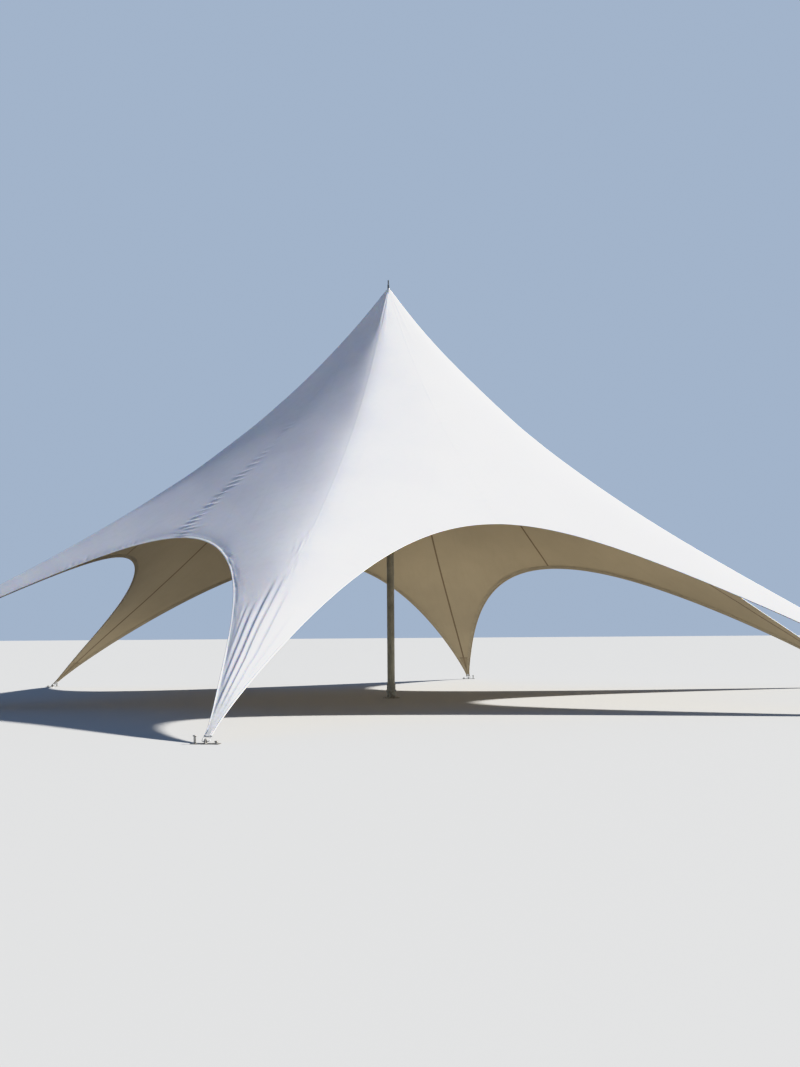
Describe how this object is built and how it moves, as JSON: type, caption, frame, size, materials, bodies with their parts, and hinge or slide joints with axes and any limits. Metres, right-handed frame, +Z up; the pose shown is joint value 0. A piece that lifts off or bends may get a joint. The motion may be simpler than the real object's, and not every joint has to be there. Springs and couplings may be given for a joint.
{
  "type": "six-pointed star tent",
  "caption": "Single-mast star-shaped event tent: a taut white cloth canopy whose pointed legs are drawn down to ground anchors, with open arches between the legs.",
  "frame": {"origin": "on the ground under the centre of the mast, at the bottom centre of the whole tent", "axes": "+Z up along the mast; the front leg points along -Y and the others follow every 60 degrees; +X to the right seen from the front"},
  "size_m": [14.9568, 17.1206, 6.336],
  "materials": {
    "canopy_cloth": "coated woven tent cloth, white outside and sand coloured inside",
    "hem_webbing": "woven polyester webbing sewn under the hem",
    "mast_tube": "mill finish aluminium tube, dull and slightly weathered",
    "mast_foot": "grey galvanised steel socket and base plate",
    "fittings": "zinc plated steel",
    "peak_spike": "dark grey steel rod",
    "ground_anchor": "galvanised steel plate and stakes"
  },
  "bodies": {
    "root": {"mast_foot": "mast_foot", "mast_lower": "mast_tube", "mast_middle": "mast_tube", "mast_upper": "mast_tube", "foot_bolt": "fittings", "mast_head": "fittings", "peak_spike": "peak_spike", "peak_cap": "canopy_cloth", "canopy_panel_front_a": "canopy_cloth", "canopy_panel_front_b": "canopy_cloth", "canopy_panel_front_right_a": "canopy_cloth", "canopy_panel_front_right_b": "canopy_cloth", "canopy_panel_back_right_a": "canopy_cloth", "canopy_panel_back_right_b": "canopy_cloth", "canopy_panel_back_a": "canopy_cloth", "canopy_panel_back_b": "canopy_cloth", "canopy_panel_back_left_a": "canopy_cloth", "canopy_panel_back_left_b": "canopy_cloth", "canopy_panel_front_left_a": "canopy_cloth", "canopy_panel_front_left_b": "canopy_cloth", "leg_corner_front": "canopy_cloth", "leg_corner_front_right": "canopy_cloth", "leg_corner_back_right": "canopy_cloth", "leg_corner_back": "canopy_cloth", "leg_corner_back_left": "canopy_cloth", "leg_corner_front_left": "canopy_cloth", "hem_belt_front": "hem_webbing", "hem_belt_front_right": "hem_webbing", "hem_belt_back_right": "hem_webbing", "hem_belt_back": "hem_webbing", "hem_belt_back_left": "hem_webbing", "hem_belt_front_left": "hem_webbing", "tip_link_front": "fittings", "tip_link_front_right": "fittings", "tip_link_back_right": "fittings", "tip_link_back": "fittings", "tip_link_back_left": "fittings", "tip_link_front_left": "fittings", "ground_anchor_front": "ground_anchor", "ground_anchor_front_right": "ground_anchor", "ground_anchor_back_right": "ground_anchor", "ground_anchor_back": "ground_anchor", "ground_anchor_back_left": "ground_anchor", "ground_anchor_front_left": "ground_anchor"}
  },
  "joints": []
}
